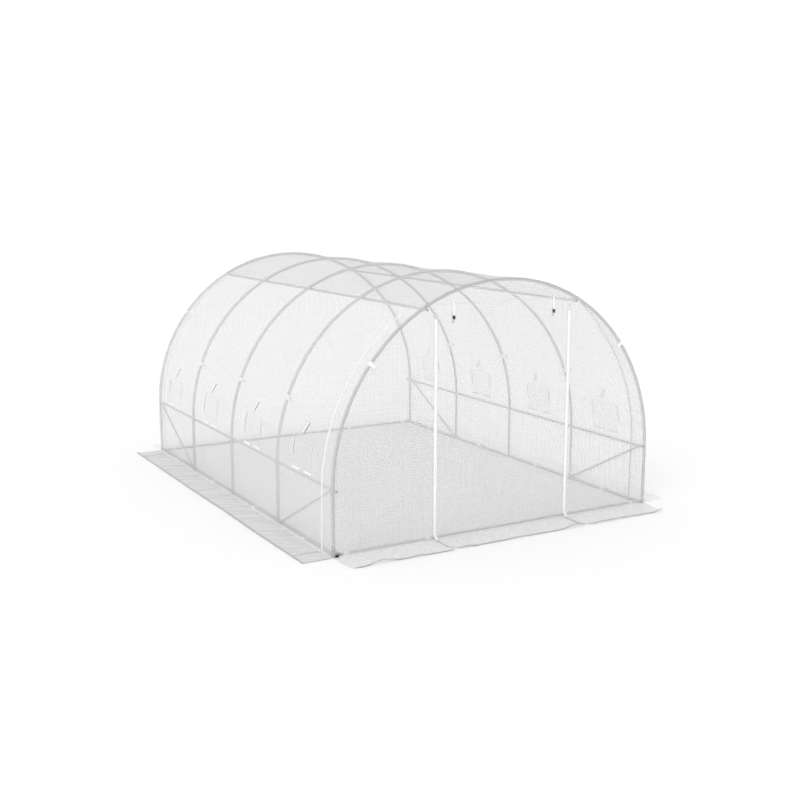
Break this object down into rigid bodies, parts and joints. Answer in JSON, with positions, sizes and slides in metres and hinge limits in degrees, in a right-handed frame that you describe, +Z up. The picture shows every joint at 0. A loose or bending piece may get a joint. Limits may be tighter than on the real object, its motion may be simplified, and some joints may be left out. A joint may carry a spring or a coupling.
{
  "type": "polytunnel greenhouse",
  "caption": "Walk-in tunnel greenhouse: bent steel tube arches under translucent film, with a zipped roll-up door, roll-up side windows and film skirts on the ground.",
  "frame": {"origin": "on the ground at the middle of the tunnel, skirts included", "axes": "+Z up, +Y along the tunnel from the door end to the plain end, +X across it"},
  "size_m": [3.5178, 4.5778, 2.0052],
  "materials": {
    "galvanised_tube": "galvanised",
    "black_plastic": "moulded",
    "white_trim": "satin tape and webbing",
    "cover_film": "translucent film with a reinforcing grid",
    "skirt_film": "translucent film lying on the ground",
    "insect_net": "fine net"
  },
  "bodies": {
    "root": {"front_arch": "galvanised_tube", "second_arch": "galvanised_tube", "middle_arch": "galvanised_tube", "fourth_arch": "galvanised_tube", "back_arch": "galvanised_tube", "left_side_rail": "galvanised_tube", "right_side_rail": "galvanised_tube", "left_purlin": "galvanised_tube", "right_purlin": "galvanised_tube", "side_base_rails": "galvanised_tube", "cross_base_rails": "galvanised_tube", "left_braces": "galvanised_tube", "right_braces": "galvanised_tube", "foot_caps": "galvanised_tube", "rail_end_caps": "black_plastic", "strap_buckles": "black_plastic", "tube_ties": "white_trim", "door_zips": "white_trim", "door_straps": "white_trim", "left_window_fasteners": "white_trim", "right_window_fasteners": "white_trim", "left_side_cover": "cover_film", "right_side_cover": "cover_film", "left_haunch_cover": "cover_film", "right_haunch_cover": "cover_film", "left_shoulder_cover": "cover_film", "right_shoulder_cover": "cover_film", "roof_cover": "cover_film", "front_edge_band": "cover_film", "back_edge_band": "cover_film", "front_left_panel": "cover_film", "front_right_panel": "cover_film", "front_top_panel": "cover_film", "front_door": "cover_film", "back_wall": "cover_film", "left_window_flaps": "cover_film", "right_window_flaps": "cover_film", "left_skirt": "skirt_film", "right_skirt": "skirt_film", "front_left_skirt": "skirt_film", "door_skirt": "skirt_film", "front_right_skirt": "skirt_film", "back_skirt": "skirt_film", "left_window_nets": "insect_net", "right_window_nets": "insect_net"}
  },
  "joints": []
}
